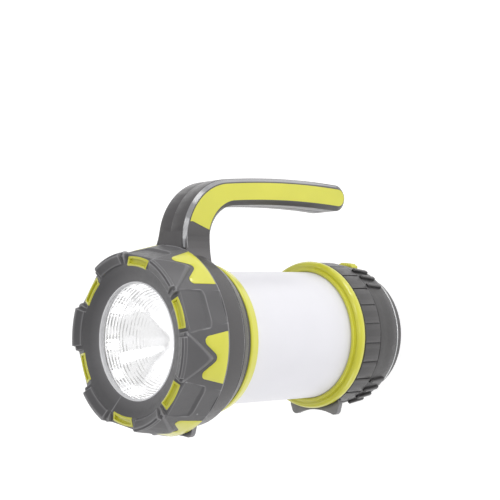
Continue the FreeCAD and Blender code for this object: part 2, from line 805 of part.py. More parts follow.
def make_reflector():
    """A parabolic bowl with a flat rim that rests on the collar's shelf."""
    throat = size("reflector_throat")
    rim = size("reflector_rim")
    low = size("reflector_low")
    high = size("reflector_high")
    wall = size("reflector_wall")
    stretch = (rim ** 2 - throat ** 2) / (high - low)
    inner = []
    steps = 24
    for step in range(steps + 1):
        height = low + (high - low) * step / steps
        inner.append(FreeCAD.Vector(math.sqrt(throat ** 2 + stretch * (height - low)), 0, height))
    outer = [FreeCAD.Vector(point.x + wall, 0, point.z - wall) for point in inner[:-1]]
    flange = [FreeCAD.Vector(inner[-1].x, 0, high),
              FreeCAD.Vector(size("reflector_flange"), 0, high),
              FreeCAD.Vector(size("reflector_flange"), 0, high - 1.3),
              FreeCAD.Vector(outer[-1].x + 0.9, 0, high - 1.3)]
    bowl = Part.BSplineCurve()
    bowl.interpolate(inner)
    back = Part.BSplineCurve()
    back.interpolate([flange[-1]] + outer[::-1])
    edges = [bowl.toShape(), Part.makePolygon(flange), back.toShape(), Part.makeLine(outer[0], inner[0])]
    parts = []
    for item in edges:
        parts.extend(item.Edges)
    face = Part.Face(Part.Wire(Part.__sortEdges__(parts)))
    keep("reflector", fixed_shape("reflector", face.revolve(ORIGIN, Z_AXIS, 360)))


def make_lens():
    keep("front_lens", rod("front_lens", "lens_radius", "lens_high - lens_low", z="lens_low"))
    keep("lens_seal", turned("lens_seal", [
        ("opening_radius + 0.6", "lens_high + 0.05"),
        ("lens_radius", "lens_high + 0.05"),
        ("lens_radius", "lip_low - 0.05"),
        ("opening_radius + 0.6", "lip_low - 0.05"),
    ]))
    keep("lens_trim", turned("lens_trim", [
        ("opening_radius - trim_width", "lens_high + 0.05"),
        ("opening_radius - 0.1", "lens_high + 0.05"),
        ("opening_radius - 0.1", "cap_opening_height"),
        ("opening_radius - trim_width * 0.6", "cap_opening_height + 0.2"),
        ("opening_radius - trim_width", "cap_opening_height - 0.4"),
    ]))


def collar_corners():
    """The collar's outline: outside from rear to front, then inside back to the rear."""
    return [
        ("collar_floor_bore", "collar_low"),
        ("collar_recess_radius", "collar_low"),
        ("collar_recess_radius", "collar_band_low - 0.4"),
        ("collar_band_rear", "collar_band_low"),
        ("collar_band_front", "collar_band_top"),
        ("collar_groove_radius", "collar_band_top + 0.2"),
        ("collar_groove_radius", "collar_main_low - 0.2"),
        ("collar_main_rear", "collar_main_low"),
        ("collar_main_front", "collar_main_top"),
        ("neck_radius", "collar_main_top"),
        ("neck_radius", "neck_top"),
        ("shelf_bore", "neck_top"),
        ("shelf_bore", "neck_top - shelf_thickness"),
        ("collar_neck_bore", "neck_top - shelf_thickness - 4"),
        ("collar_neck_bore", "collar_main_low + 2"),
        ("collar_bore", "collar_band_low + 2"),
        ("collar_bore", "collar_low + collar_floor"),
        ("collar_floor_bore", "collar_low + collar_floor"),
    ]


def make_collar():
    keep("head_collar", turned("head_collar", collar_corners()))


# ---- head cap with its teeth, accents and inserts ------------------------------------------

def cone_radius(height):
    """Radius of the cap's sloping outside at a height."""
    rear = size("cap_wide_radius")
    front = size("cap_front_radius")
    span = size("cap_front_height") - size("cap_wide_height")
    return rear + (front - rear) * (height - size("cap_wide_height")) / span


def face_height(radius):
    """Height of the cap's front face at a radius."""
    inner = size("opening_radius")
    span = size("cap_face_radius") - inner
    rise = size("cap_face_height") - size("cap_opening_height")
    return size("cap_opening_height") + rise * (radius - inner) / span


def window_height(radius):
    """Height of the front face at a radius, where it slopes back down beside an insert."""
    if radius < size("cap_face_radius"):
        return face_height(radius)
    span = size("window_edge_radius") - size("cap_face_radius")
    drop = size("cap_face_height") - size("window_edge_height")
    return size("cap_face_height") - drop * (radius - size("cap_face_radius")) / span


def on_cone(across, height, raised):
    """A point over the cap's outside, by its distance to the side of a sector's middle."""
    radius = cone_radius(height) + raised
    return FreeCAD.Vector(math.sqrt(radius ** 2 - across ** 2), across, height)


def closed_wire(points):
    return Part.makePolygon(points + points[:1])


def tooth():
    """A raised triangle with bevelled flanks that runs back from a nose on the front edge."""
    plate = Part.makeLoft([
        closed_wire([on_cone(-13.2, 188.6, -1.6), on_cone(13.2, 188.6, -1.6), on_cone(0, 171.9, -1.6)]),
        closed_wire([on_cone(-10.4, 189.6, 0.9), on_cone(10.4, 189.6, 0.9), on_cone(0, 174.2, 1.8)]),
    ], True, True)
    nose = ring_of([(43.4, 187.0), (43.4, face_height(43.4) + 0.9), (48.6, 191.8), (49.8, 191.3),
                    (50.4, 189.4), (49.2, 186.0)], -13.4, 26.8)
    return plate.fuse(nose)


def panel_room():
    """What is cut away to leave a flat panel, stepped up at its rear, between two teeth."""
    front_level = [FreeCAD.Vector(47.6, -13.0, 190.4), FreeCAD.Vector(47.6, 13.0, 190.4),
                   FreeCAD.Vector(50.9, 10.9, 174.0), FreeCAD.Vector(50.9, -10.9, 174.0)]
    rear_level = [FreeCAD.Vector(51.9, -10.9, 174.4), FreeCAD.Vector(51.9, 10.9, 174.4),
                  FreeCAD.Vector(54.0, 9.0, 160.4), FreeCAD.Vector(54.0, -9.0, 160.4)]
    room = Part.Face(closed_wire(front_level)).extrude(X_AXIS * 9)
    edge_room = ring_of([(size("cap_face_radius"), size("cap_face_height")), (53.0, window_height(53.0)),
                         (53.0, 194.0), (size("cap_face_radius"), 194.0)],
                        -size("window_half_angle"), 2 * size("window_half_angle"))
    return room.fuse([Part.Face(closed_wire(rear_level)).extrude(X_AXIS * 9), edge_room])


def accent_outline():
    """Two round-topped lobes over a straight rear edge, around the tip of a tooth."""
    def point(across, height):
        return FreeCAD.Vector(0, across, height)
    edges = [
        Part.makeLine(point(-14.6, 163.4), point(14.6, 163.4)),
        Part.makeLine(point(14.6, 163.4), point(11.9, 175.4)),
        Part.Arc(point(11.9, 175.4), point(9.6, 177.6), point(6.9, 176.5)).toShape(),
        Part.makeLine(point(6.9, 176.5), point(2.6, 171.4)),
        Part.Arc(point(2.6, 171.4), point(0, 170.2), point(-2.6, 171.4)).toShape(),
        Part.makeLine(point(-2.6, 171.4), point(-6.9, 176.5)),
        Part.Arc(point(-6.9, 176.5), point(-9.6, 177.6), point(-11.9, 175.4)).toShape(),
        Part.makeLine(point(-11.9, 175.4), point(-14.6, 163.4)),
    ]
    return Part.Wire(edges)


def accent_slab(low_offset, high_offset):
    """The accent's outline cut from a shell that follows the cap's slope."""
    bar = Part.Face(accent_outline()).extrude(X_AXIS * 70)
    shell = ring_of([(cone_radius(160) + low_offset, 160), (cone_radius(160) + high_offset, 160),
                     (cone_radius(182) + high_offset, 182), (cone_radius(182) + low_offset, 182)], -30, 60)
    return bar.common(shell)


def insert_body(proud):
    """A block of the front face between two radii, standing a little proud of it."""
    inner = size("insert_inner")
    outer = size("insert_outer")
    depth = size("insert_depth")
    half = size("insert_half_angle")
    crest = size("cap_face_radius")
    return ring_of([(inner, window_height(inner) - depth), (outer, window_height(outer) - depth),
                    (outer, window_height(outer) + proud), (crest, window_height(crest) + proud),
                    (inner, window_height(inner) + proud)], -half, 2 * half)


def make_head_cap():
    count = int(size("cap_repeats"))
    pitch = 360 / count
    first_window = size("cap_turn")
    cap = turned("cap_blank", [
        ("cap_bore", "cap_low"),
        ("cap_rear_radius", "cap_low"),
        ("cap_wide_radius", "cap_wide_height"),
        ("cap_front_radius", "cap_front_height"),
        ("cap_front_radius - 1.2", "cap_front_height + 0.6"),
        ("cap_face_radius", "cap_face_height"),
        ("opening_radius", "cap_opening_height"),
        ("opening_radius", "lip_low"),
        ("lens_radius + 0.3", "lip_low"),
        ("lens_radius + 0.3", "neck_top + 0.15"),
        ("cap_bore", "neck_top + 0.15"),
    ])
    DOCUMENT.recompute()
    shape = cap.Shape
    window_turns = [first_window + pitch * number for number in range(count)]
    tooth_turns = [turn + pitch / 2 for turn in window_turns]
    shape = shape.cut([around(panel_room(), turn) for turn in window_turns])
    shape = shape.fuse([around(tooth(), turn) for turn in tooth_turns])
    shape = shape.cut([around(accent_slab(-size("accent_depth"), 4), turn) for turn in tooth_turns])
    shape = shape.cut([around(insert_body(5), turn) for turn in window_turns])
    keep("head_cap", fixed_shape("head_cap", shape.removeSplitter()))
    accent = accent_slab(-size("accent_depth"), size("accent_proud"))
    border = size("insert_border")
    half = size("insert_half_angle") - math.degrees(border / size("insert_outer"))
    low_inner = size("insert_inner") + border
    low_outer = size("insert_outer") - border
    hollow = ring_of([(low_inner, window_height(low_inner) - 1.4),
                      (low_outer, window_height(low_outer) - 1.4),
                      (low_outer, 192), (low_inner, 192)], -half, 2 * half)
    insert = insert_body(0.2).cut(hollow)
    for number in range(count):
        label = "head_accent_%d" % (number + 1)
        keep(label, fixed_shape(label, accent, tooth_turns[number]))
        label = "rim_insert_%d" % (number + 1)
        keep(label, fixed_shape(label, insert, window_turns[number]))


# ---- handle --------------------------------------------------------------------------------

def handle_wire():
    """The handle's side outline: from the collar over the bend, down the grip and back inside."""
    def point(x, z):
        return FreeCAD.Vector(x, 0, z)
    return Part.Wire([
        Part.makeLine(point(44.0, 159.6), point(62.0, 156.3)),
        Part.Arc(point(62.0, 156.3), point(82.9, 145.2), point(93.2, 124.0)).toShape(),
        Part.Arc(point(93.2, 124.0), point(95.6, 82.0), point(94.2, 27.0)).toShape(),
        Part.Arc(point(94.2, 27.0), point(86.0, 18.6), point(77.8, 27.0)).toShape(),
        Part.Arc(point(77.8, 27.0), point(79.6, 78.0), point(78.0, 117.0)).toShape(),
        Part.Arc(point(78.0, 117.0), point(72.25, 128.57), point(61.0, 134.9)).toShape(),
        Part.makeLine(point(61.0, 134.9), point(44.0, 138.6)),
        Part.makeLine(point(44.0, 138.6), point(44.0, 159.6)),
    ])


def collar_envelope():
    """The space the collar and front ring take up, which the handle's root fits against."""
    corners = [(0, 129.0), (45.3, 129.0), (45.3, size("collar_band_low") - 0.4),
               (size("collar_band_rear"), size("collar_band_low")),
               (size("collar_band_front"), size("collar_band_top")),
               (size("collar_main_rear"), size("collar_main_low")),
               (size("collar_main_front"), size("collar_main_top")),
               (size("cap_wide_radius") + 0.3, size("collar_main_top") + 0.1),
               (size("cap_wide_radius") + 0.3, 170.0), (0, 170.0)]
    return ring_of(corners)


def handle_body():
    """The whole handle before it is split, with bevelled edges and a root that flares out."""
    half = size("handle_half_width")
    side = Part.Face(handle_wire())
    slab = side.extrude(Y_AXIS * 2 * half)
    slab.translate(Y_AXIS * -half)
    rim = [edge for edge in slab.Edges if abs(abs(edge.CenterOfMass.y) - half) < 0.01
           and edge.CenterOfMass.x > 50 and edge.BoundBox.YLength < 0.01]
    slab = slab.makeChamfer(size("handle_chamfer"), rim)
    sections = []
    for step in range(6):
        x = 44.0 + 4.0 * step
        spread = ((size("handle_flare_start") - x) / 20.0) ** 2
        wide = half - 0.5 + size("handle_flare") * spread
        inset = 0.2 + 0.38 * step
        low = 138.6 - 0.216 * (x - 44.0) + inset + 3.4 * spread
        high = 159.6 - 0.183 * (x - 44.0) - inset
        sections.append(closed_wire([FreeCAD.Vector(x, -wide, low), FreeCAD.Vector(x, wide, low),
                                     FreeCAD.Vector(x, wide, high), FreeCAD.Vector(x, -wide, high)]))
    root = Part.makeLoft(sections, True, True)
    return slab.fuse(root).cut(collar_envelope())


def inlay_face():
    """Side outline of an inlay: inside the handle's outline, from a slanted edge above the root."""
    inner = Part.Face(handle_wire()).makeOffset2D(-size("inlay_border"))
    start = [FreeCAD.Vector(40, 0, 100), FreeCAD.Vector(69.0, 0, 100), FreeCAD.Vector(62.4, 0, 136.0),
             FreeCAD.Vector(67.6, 0, 150.0), FreeCAD.Vector(66.0, 0, 170), FreeCAD.Vector(40, 0, 170)]
    return inner.cut(Part.Face(closed_wire(start)))


def make_handle():
    half = size("handle_half_width")
    depth = size("inlay_depth")
    proud = size("inlay_proud")
    inlay = inlay_face().Faces[0]
    whole = handle_body()
    cavity_face = Part.Face(handle_wire()).makeOffset2D(-size("handle_wall") - 1.4)
    cavity = cavity_face.extrude(Y_AXIS * 2 * (half - 4.2))
    cavity.translate(Y_AXIS * -(half - 4.2))
    cavity = cavity.cut(Part.makeBox(22, 60, 80, FreeCAD.Vector(40, -30, 110)))
    screw_places = [(86.0, 34.0), (87.4, 84.0), (81.0, 134.0)]
    bosses = []
    screws = []
    for x, z in screw_places:
        start = FreeCAD.Vector(x, -half + 4.0, z)
        bosses.append(Part.makeCylinder(size("handle_boss_radius"), 2 * half - 8.0, start, Y_AXIS))
        shank = Part.makeCylinder(size("handle_screw_radius"), 16.0, FreeCAD.Vector(x, -7.0, z), Y_AXIS)
        head = Part.makeCylinder(size("handle_screw_head"), 2.0, FreeCAD.Vector(x, 9.0, z), Y_AXIS)
        screws.append(shank.fuse(head).removeSplitter())
    hollow = cavity.cut(bosses)
    left_side = Part.makeBox(100, 40, 200, FreeCAD.Vector(30, 0, 0))
    right_side = Part.makeBox(100, 40, 200, FreeCAD.Vector(30, -40, 0))
    screw_rooms = []
    for x, z in screw_places:
        start = FreeCAD.Vector(x, 9.0, z)
        screw_rooms.append(Part.makeCylinder(size("handle_screw_head"), 8.0, start, Y_AXIS))
    pocket_left = inlay.extrude(Y_AXIS * 10)
    pocket_left.translate(Y_AXIS * (half - depth))
    pocket_right = inlay.extrude(Y_AXIS * -10)
    pocket_right.translate(Y_AXIS * -(half - depth))
    body = whole.cut([hollow, pocket_left, pocket_right] + screws + screw_rooms)
    keep("handle_left_half", fixed_shape("handle_left_half", body.common(left_side)))
    keep("handle_right_half", fixed_shape("handle_right_half", body.common(right_side)))
    left = inlay.extrude(Y_AXIS * (depth + proud))
    left.translate(Y_AXIS * (half - depth))
    right = inlay.extrude(Y_AXIS * -(depth + proud))
    right.translate(Y_AXIS * -(half - depth))
    keep("handle_inlay_left", fixed_shape("handle_inlay_left", left))
    keep("handle_inlay_right", fixed_shape("handle_inlay_right", right))
    keep("handle_screws", fixed_shape("handle_screws", Part.makeCompound(screws)))


# ---- feet ----------------------------------------------------------------------------------

def foot_shape(half, reach, seat_radius, low, high, arch):
    """A plate with two rounded lobes that the lantern lies on, fitted round the body."""
    edge = reach - 6.4

    def point(depth, across):
        return FreeCAD.Vector(-depth, across, low)

    def arc(start, middle, end):
        return Part.Arc(start, middle, end).toShape()

    def line(start, end):
        return Part.makeLine(start, end)

    near_corner = point(reach - 2.0, -half + 1.5)
    near_lobe = point(reach - 0.3, -half + 6.0)
    far_corner = point(reach - 2.0, half - 1.5)
    far_lobe = point(reach - 0.3, half - 6.0)
    edges = [
        line(point(30, -half + 4), point(edge, -half)),
        line(point(edge, -half), near_corner),
        arc(near_corner, point(reach - 0.3, -half + 3.4), near_lobe),
        arc(near_lobe, point(reach - arch, 0), far_lobe),
        arc(far_lobe, point(reach - 0.3, half - 3.4), far_corner),
        line(far_corner, point(edge, half)),
        line(point(edge, half), point(30, half - 4)),
        line(point(30, half - 4), point(30, -half + 4)),
    ]
    plate = Part.Face(Part.Wire(edges)).extrude(Z_AXIS * (high - low))
    return plate.cut(Part.makeCylinder(seat_radius, 220))


def make_feet():
    rear = foot_shape(size("rear_foot_half_width"), size("rear_foot_reach"), size("housing_radius") + 0.02,
                      size("rear_foot_low"), size("rear_foot_high"), 3.0)
    keep("rear_foot", fixed_shape("rear_foot", rear))
    front_seat = size("collar_main_front") + 0.02
    front = foot_shape(size("front_foot_half_width"), size("front_foot_reach"), front_seat,
                       size("front_foot_low"), size("front_foot_high"), 1.2)
    keep("front_foot", fixed_shape("front_foot", front))


make_base_plate()
make_hook()
make_base_screws()
make_base_grip()
make_base_housing()
make_boards()
make_ports()
make_port_cover()
make_mode_button()
make_shade_group()
make_column()
make_strips()
make_cells()
make_wires()
make_torch_core()
make_reflector()
make_lens()
make_collar()
make_head_cap()
make_handle()
make_feet()
DOCUMENT.recompute()

for item in DOCUMENT.Objects:
    if "Invalid" in item.State or "Error" in item.State:
        raise RuntimeError("%s failed to build: %s" % (item.Label, item.State))
for label, piece in NODES.items():
    if piece.Shape.isNull() or not piece.Shape.isValid() or piece.Shape.Volume <= 0:
        raise RuntimeError("%s has no valid solid" % label)

os.makedirs("parts", exist_ok=True)
for label, piece in NODES.items():
    piece.Shape.exportStep("parts/%s.step" % label)
    print("%-24s %2d solid %10.1f mm3" % (label, len(piece.Shape.Solids), piece.Shape.Volume))
print(len(NODES), "nodes")
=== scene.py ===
"""The camping lantern's looks: visible shells, finishes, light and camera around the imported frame."""
import bpy
import json
import math
from mathutils import Matrix, Vector


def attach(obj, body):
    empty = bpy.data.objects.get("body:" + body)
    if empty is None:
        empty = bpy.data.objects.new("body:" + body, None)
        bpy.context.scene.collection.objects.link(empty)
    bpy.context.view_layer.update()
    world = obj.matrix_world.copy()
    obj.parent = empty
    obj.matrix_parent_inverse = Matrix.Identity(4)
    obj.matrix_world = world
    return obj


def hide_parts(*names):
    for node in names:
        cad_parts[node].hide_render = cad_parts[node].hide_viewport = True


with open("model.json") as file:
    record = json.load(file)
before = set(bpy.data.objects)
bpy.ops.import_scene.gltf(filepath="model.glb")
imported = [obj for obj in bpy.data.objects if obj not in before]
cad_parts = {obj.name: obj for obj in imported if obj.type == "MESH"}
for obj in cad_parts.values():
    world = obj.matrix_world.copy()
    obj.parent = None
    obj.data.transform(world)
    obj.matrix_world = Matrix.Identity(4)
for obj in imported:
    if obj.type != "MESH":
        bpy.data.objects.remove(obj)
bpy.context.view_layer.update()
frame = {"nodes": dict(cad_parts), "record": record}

MM = 0.001
LATHE_STEPS = 240
CAP_STEPS = 1080
CAP_TURN = -10.7
PITCH = 360 / 6
BEVEL_DEPTH = 2.4
FLARE = 7.0
FLARE_START = 64.0
FLARE_LENGTH = 20.0
BUTTON_RADIUS = 44.7


# ---- camera, light and floor ---------------------------------------------------------------

def look_from(thing, place, target, roll=0.0):
    """Puts a camera or light at a place, facing a target, with the handle's side up."""
    thing.location = place
    back = (Vector(place) - Vector(target)).normalized()
    right = Vector((1, 0, 0)).cross(back).normalized()
    up = back.cross(right)
    upright = Matrix((right, up, back)).transposed()
    thing.rotation_euler = (upright @ Matrix.Rotation(roll, 3, "Z")).to_euler()


def add_camera():
    """The view from in front of the torch head, with the lantern lying on its feet."""
    data = bpy.data.cameras.new("camera")
    data.lens = 100.0
    data.sensor_width = 36.0
    camera = bpy.data.objects.new("camera", data)
    bpy.context.scene.collection.objects.link(camera)
    look_from(camera, (0.00972, -0.60865, 0.67462), (0.05257, 0.0, 0.09349), math.radians(-1.602))
    bpy.context.scene.camera = camera


def add_softbox(name, place, target, side, power):
    """A square area light of some side in metres and power in watts."""
    data = bpy.data.lights.new(name, "AREA")
    data.shape = "SQUARE"
    data.size = side
    data.energy = power
    lamp = bpy.data.objects.new(name, data)
    bpy.context.scene.collection.objects.link(lamp)
    look_from(lamp, place, target)


def add_light():
    """Six softboxes round the lantern, under an even white sky."""
    middle = (0.0, 0.0, 0.1)
    add_softbox("softbox_handle_side", (0.90, -0.48, 0.22), middle, 0.40, 3.0)
    add_softbox("softbox_feet_side", (-0.85, -0.40, 0.25), middle, 0.45, 1.7)
    add_softbox("softbox_torch_side", (0.25, -0.10, 1.10), middle, 0.50, 1.2)
    add_softbox("softbox_front", (0.52, -0.72, 0.72), middle, 0.30, 1.3)
    add_softbox("softbox_low_front", (0.10, -0.90, 0.55), middle, 0.20, 0.8)
    add_softbox("softbox_behind", (-0.1, 0.9, 0.5), middle, 0.80, 2.4)
    world = bpy.data.worlds.new("studio")
    bpy.context.scene.world = world
    world.use_nodes = True
    background = world.node_tree.nodes["Background"]
    background.inputs["Color"].default_value = (1.0, 1.0, 1.0, 1.0)
    background.inputs["Strength"].default_value = 0.48
    bpy.context.scene.view_settings.view_transform = "Standard"


def add_floor():
    """A plain white paper floor, low enough for the hook to swing down."""
    bpy.ops.mesh.primitive_plane_add(size=60, location=(0, 0, -0.06))
    floor = bpy.context.object
    floor.name = "studio_floor"
    paper = bpy.data.materials.new("studio_paper")
    paper.use_nodes = True
    shader = paper.node_tree.nodes["Principled BSDF"]
    shader.inputs["Base Color"].default_value = (0.9, 0.9, 0.9, 1)
    shader.inputs["Roughness"].default_value = 0.9
    shader.inputs["Emission Color"].default_value = (1, 1, 1, 1)
    shader.inputs["Emission Strength"].default_value = 0.40
    floor.data.materials.append(paper)


# ---- finishes ------------------------------------------------------------------------------

class Finish:
    """A procedural material: a base colour with drift, roughness spread, fine grain, painted highlights on
    sharp edges and painted shade in creases.
    """

    def __init__(self, name, colour, roughness, **more):
        self.material = bpy.data.materials.new(name)
        self.material.use_nodes = True
        self.tree = self.material.node_tree
        self.shader = self.tree.nodes["Principled BSDF"]
        self.place = self.tree.nodes.new("ShaderNodeTexCoord").outputs["Object"]
        self.colour(colour, more.get("drift", 0.06), more.get("drift_scale", 60), more.get("wear", 0.0))
        self.rough(roughness, more.get("spread", 0.06), more.get("rough_scale", 400))
        self.grain(more.get("grain", 0.15), more.get("grain_scale", 2500), more.get("wave", 0.0))
        for socket, value in more.get("sockets", {}).items():
            self.shader.inputs[socket].default_value = value
        if "streaks" in more:
            self.streaks(colour, *more["streaks"])

    def noise(self, scale, detail=3.0):
        """Soft noise over the piece's own coordinates."""
        node = self.tree.nodes.new("ShaderNodeTexNoise")
        node.inputs["Scale"].default_value = scale
        node.inputs["Detail"].default_value = detail
        self.tree.links.new(self.place, node.inputs["Vector"])
        return node.outputs["Fac"]

    def spread_over(self, value, low, high, from_low=0.3, from_high=0.7):
        """Maps a value's range to another range, and clips it there."""
        node = self.tree.nodes.new("ShaderNodeMapRange")
        node.inputs["From Min"].default_value = from_low
        node.inputs["From Max"].default_value = from_high
        node.inputs["To Min"].default_value = low
        node.inputs["To Max"].default_value = high
        self.tree.links.new(value, node.inputs["Value"])
        return node.outputs["Result"]

    def mixed(self, amount, first, second):
        """Blends two colours, each a node's output or four plain values."""
        node = self.tree.nodes.new("ShaderNodeMix")
        node.data_type = "RGBA"
        self.tree.links.new(amount, node.inputs["Factor"])
        for number, value in ((6, first), (7, second)):
            if isinstance(value, tuple):
                node.inputs[number].default_value = value
            else:
                self.tree.links.new(value, node.inputs[number])
        return node.outputs[2]

    def colour(self, colour, drift, scale, wear):
        """A colour that drifts slowly, with painted highlights on sharp edges and painted shade in
        creases.
        """
        dark = tuple(channel * (1 - drift) for channel in colour) + (1,)
        light = tuple(min(1.0, channel * (1 + drift)) for channel in colour) + (1,)
        amount = self.spread_over(self.noise(scale), 0, 1)
        result = self.mixed(amount, dark, light)
        # Painted highlight: sharp convex edges are made paler. Painted shade: creases are made darker by
        # ambient occlusion.
        if wear:
            edges = self.tree.nodes.new("ShaderNodeNewGeometry").outputs["Pointiness"]
            edge_highlight_amount = self.spread_over(edges, 0, wear, 0.503, 0.53)
            edge_highlight_colour = tuple(min(1.0, channel * 2.0 + 0.05) for channel in colour) + (1,)
            result = self.mixed(edge_highlight_amount, result, edge_highlight_colour)
            hollows = self.tree.nodes.new("ShaderNodeAmbientOcclusion")
            hollows.inputs["Distance"].default_value = 0.0035
            crease_shade_amount = self.spread_over(hollows.outputs["AO"], 1, 0, 0.35, 0.85)
            crease_shade_colour = tuple(channel * 0.35 for channel in colour) + (1,)
            result = self.mixed(crease_shade_amount, result, crease_shade_colour)
        self.tree.links.new(result, self.shader.inputs["Base Color"])

    def streaks(self, colour, pitch, low, high):
        """Broken dark rings across the local Z axis, which fade in between two heights, in the base colour
        and in the painted glow of the emission.
        """
        wave = self.tree.nodes.new("ShaderNodeTexWave")
        wave.bands_direction = "Z"
        wave.inputs["Scale"].default_value = 2 * math.pi / (20 * pitch)
        wave.inputs["Distortion"].default_value = 2.5
        wave.inputs["Detail"].default_value = 2.0
        wave.inputs["Detail Scale"].default_value = 0.4
        self.tree.links.new(self.place, wave.inputs["Vector"])
        amount = self.spread_over(wave.outputs["Fac"], 0, 1, 0.70, 0.86)
        split = self.tree.nodes.new("ShaderNodeSeparateXYZ")
        self.tree.links.new(self.place, split.inputs["Vector"])
        fade = self.spread_over(split.outputs["Z"], 0, 1, low, high)
        broken = self.spread_over(self.noise(170), 0, 1, 0.42, 0.55)
        for value in (fade, broken):
            product = self.tree.nodes.new("ShaderNodeMath")
            product.operation = "MULTIPLY"
            self.tree.links.new(amount, product.inputs[0])
            self.tree.links.new(value, product.inputs[1])
            amount = product.outputs["Value"]
        dull = tuple(channel * 0.42 for channel in colour) + (1,)
        self.tree.links.new(self.mixed(amount, colour + (1,), dull), self.shader.inputs["Base Color"])
        # Painted glow: the emission colour, dimmed on the dark rings.
        painted_glow_colour = self.mixed(amount, (1, 1, 1, 1), (0.25, 0.24, 0.22, 1))
        self.tree.links.new(painted_glow_colour, self.shader.inputs["Emission Color"])

    def rough(self, roughness, spread, scale):
        """A roughness that varies either side of its middle."""
        value = self.spread_over(self.noise(scale), roughness - spread, roughness + spread)
        self.tree.links.new(value, self.shader.inputs["Roughness"])

    def grain(self, strength, scale, wave):
        """Fine grain over the surface, and slow waves where they are asked for."""
        bump = self.tree.nodes.new("ShaderNodeBump")
        bump.inputs["Strength"].default_value = strength
        bump.inputs["Distance"].default_value = 0.0002
        self.tree.links.new(self.noise(scale, 2.0), bump.inputs["Height"])
        if wave:
            soft = self.tree.nodes.new("ShaderNodeBump")
            soft.inputs["Strength"].default_value = wave
            soft.inputs["Distance"].default_value = 0.0006
            self.tree.links.new(self.noise(45, 1.0), soft.inputs["Height"])
            self.tree.links.new(soft.outputs["Normal"], bump.inputs["Normal"])
        self.tree.links.new(bump.outputs["Normal"], self.shader.inputs["Normal"])


def make_finishes():
    """Every finish by name: one for each slot in the record, and a few that are only for looks."""
    made = {}

    def add(name, colour, roughness, **more):
        made[name] = Finish(name, colour, roughness, **more).material

    # The edge and crease amount paints highlights on sharp edges and shade in creases.
    add("dark_shell", (0.050, 0.047, 0.049), 0.34, grain=0.35, grain_scale=2200, wear=0.35, wave=0.05,
        sockets={"Coat Weight": 0.15, "Coat Roughness": 0.22})
    add("dark_overmould", (0.088, 0.086, 0.090), 0.40, grain=0.5, grain_scale=2200, wear=0.9, wave=0.05)
    add("dark_base", (0.026, 0.024, 0.025), 0.38, grain=0.35, grain_scale=2200, wear=0.45, wave=0.05,
        sockets={"Coat Weight": 0.15, "Coat Roughness": 0.22})
    add("rubber_black", (0.035, 0.034, 0.035), 0.62, grain=0.5, grain_scale=1800)
    add("lime_gloss", (0.60, 0.585, 0.045), 0.30, drift=0.025, spread=0.02, rough_scale=150, grain=0.02,
        grain_scale=1600, sockets={"Coat Weight": 0.5, "Coat Roughness": 0.14})
    # Painted light: a faint glow brightens the shade, which is not lit from inside.
    add("shade_white", (0.64, 0.635, 0.67), 0.36, drift=0.01, spread=0.02, grain=0.02, grain_scale=900,
        sockets={"Emission Color": (0.96, 0.95, 1.0, 1), "Emission Strength": 0.10})
    add("column_white", (0.80, 0.80, 0.79), 0.5)
    add("board_white", (0.78, 0.78, 0.76), 0.45)
    add("board_green", (0.03, 0.14, 0.06), 0.4, drift=0.15)
    add("switch_black", (0.03, 0.03, 0.03), 0.5)
    add("cell_wrap", (0.10, 0.24, 0.42), 0.3)
    add("wire_red", (0.45, 0.03, 0.02), 0.45)
    add("led_yellow", (0.85, 0.72, 0.30), 0.35)
    add("nickel", (0.62, 0.60, 0.56), 0.25, sockets={"Metallic": 1.0})
    # The steel also gets painted edge highlights and painted crease shade.
    add("steel", (0.50, 0.50, 0.51), 0.30, grain=0.1, wear=0.3, sockets={"Metallic": 1.0})
    add("sink_aluminium", (0.75, 0.75, 0.77), 0.35, sockets={"Metallic": 1.0})
    # Painted reflection: the reflector glows as if lit by the LED, with dark rings through the glow.
    add("reflector_chrome", (0.90, 0.90, 0.91), 0.12, spread=0.03, grain=0.04,
        streaks=(0.0016, 0.156, 0.172), sockets={"Metallic": 1.0, "Emission Strength": 0.33})
    # Painted highlight: a pale, partly metallic colour for thin rings that stand in for bright edge lines.
    add("painted_highlight_bead", (0.62, 0.62, 0.63), 0.18, spread=0.04, grain=0.03,
        sockets={"Metallic": 0.6})
    add("lit_led", (0.95, 0.85, 0.45), 0.3,
        sockets={"Emission Color": (1, 0.97, 0.86, 1), "Emission Strength": 6.0})
    # Painted highlight: a pale glossy colour for the strips along the handle's bevels.
    add("painted_bevel_highlight", (0.24, 0.24, 0.25), 0.16, spread=0.05, grain=0.12, grain_scale=900,
        sockets={"Coat Weight": 0.8, "Coat Roughness": 0.08})
    add("lens_clear", (1.0, 1.0, 1.0), 0.03, spread=0.01, drift=0.0, grain=0.0,
        sockets={"Transmission Weight": 1.0, "IOR": 1.49})
    add("trim_pale", (0.78, 0.78, 0.80), 0.22, sockets={"Coat Weight": 0.3})
    return made


# ---- mesh helpers --------------------------------------------------------------------------

def put(name, points, faces, finish, body, nodes, sharp=40.0):
    """Makes one piece of the lantern from its points in millimetres."""
    mesh = bpy.data.meshes.new(name)
    mesh.from_pydata([tuple(value * MM for value in point) for point in points], [], faces)
    mesh.validate()
    mesh.shade_smooth()
    mesh.set_sharp_from_angle(angle=math.radians(sharp))
    mesh.materials.append(finish)
    piece = bpy.data.objects.new(name, mesh)
    bpy.context.scene.collection.objects.link(piece)
    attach(piece, body)
    if nodes:
        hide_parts(*nodes)


def ring_faces(turns, count):
    """Faces between neighbouring outlines of count points each, all the way round."""
    faces = []
    for index in range(turns):
        first = index * count
        second = (index + 1) % turns * count
        for side in range(count):
            following = (side + 1) % count
            faces.append((first + side, second + side, second + following, first + following))
    return faces


